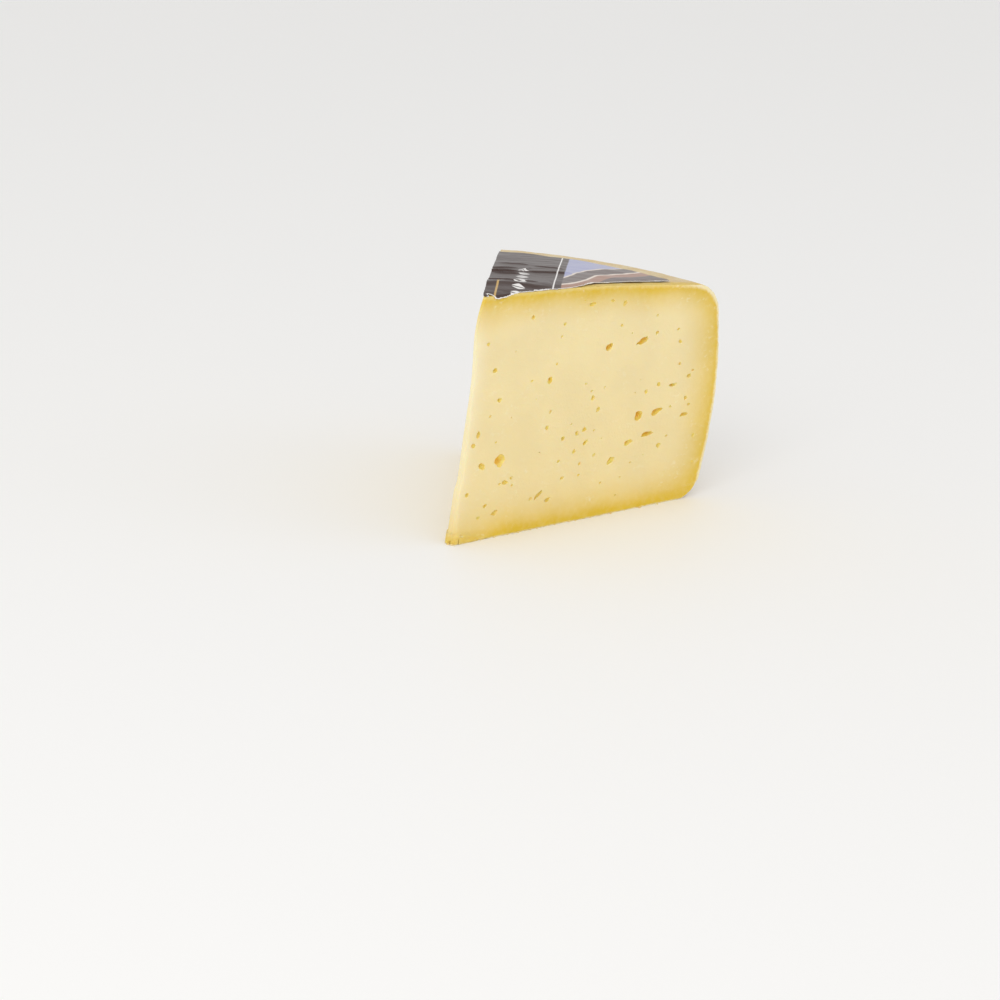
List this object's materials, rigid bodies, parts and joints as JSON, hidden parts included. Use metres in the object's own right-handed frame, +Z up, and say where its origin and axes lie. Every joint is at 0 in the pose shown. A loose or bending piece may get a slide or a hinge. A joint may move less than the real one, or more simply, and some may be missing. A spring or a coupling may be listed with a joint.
{
  "type": "sheep milk cheese wedge",
  "caption": "Wedge of semi-hard sheep milk cheese with small eyes, a thin natural rind and a piece of the wheel's paper label on its domed top.",
  "frame": {"origin": "on the surface the wedge stands on, under the middle of its bounding box", "axes": "+X from the thin end towards the rind along the front cut, -Y out of the front cut, +Z up"},
  "size_m": [0.1228, 0.085, 0.0886],
  "materials": {
    "cheese": "satin",
    "label": "satin"
  },
  "bodies": {
    "root": {"cheese_wedge": "cheese", "top_label": "label"}
  },
  "joints": []
}
